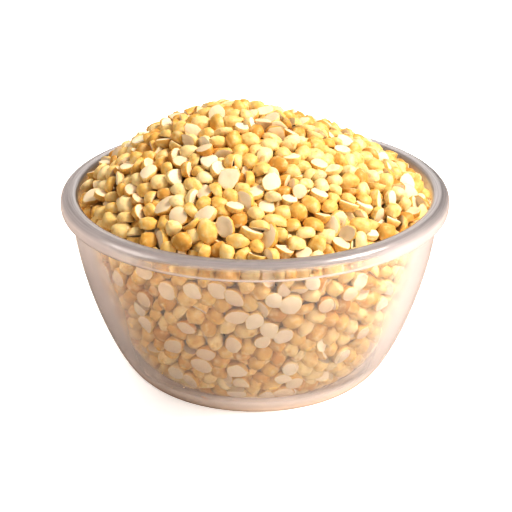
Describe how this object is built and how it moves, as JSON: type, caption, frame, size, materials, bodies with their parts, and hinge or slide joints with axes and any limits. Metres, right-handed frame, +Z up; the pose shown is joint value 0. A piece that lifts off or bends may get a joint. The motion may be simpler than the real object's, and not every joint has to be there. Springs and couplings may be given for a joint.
{
  "type": "bowl of roasted split chickpeas",
  "caption": "Clear glass mixing bowl with a thick rolled rim, filled and heaped above the rim with golden roasted split chickpeas.",
  "frame": {"origin": "middle of the bowl's foot, on the surface that the bowl stands on", "axes": "+Z up through the middle of the bowl, +Y away from the picture's camera, +X to its right"},
  "size_m": [0.14, 0.14, 0.0951],
  "materials": {
    "clear_glass": "clear pressed glass, fire polished",
    "split_chickpeas": "dry, satin golden backs and matt cream faces"
  },
  "bodies": {
    "root": {"glass_bowl": "clear_glass", "split_chickpea_heap": "split_chickpeas"}
  },
  "joints": []
}
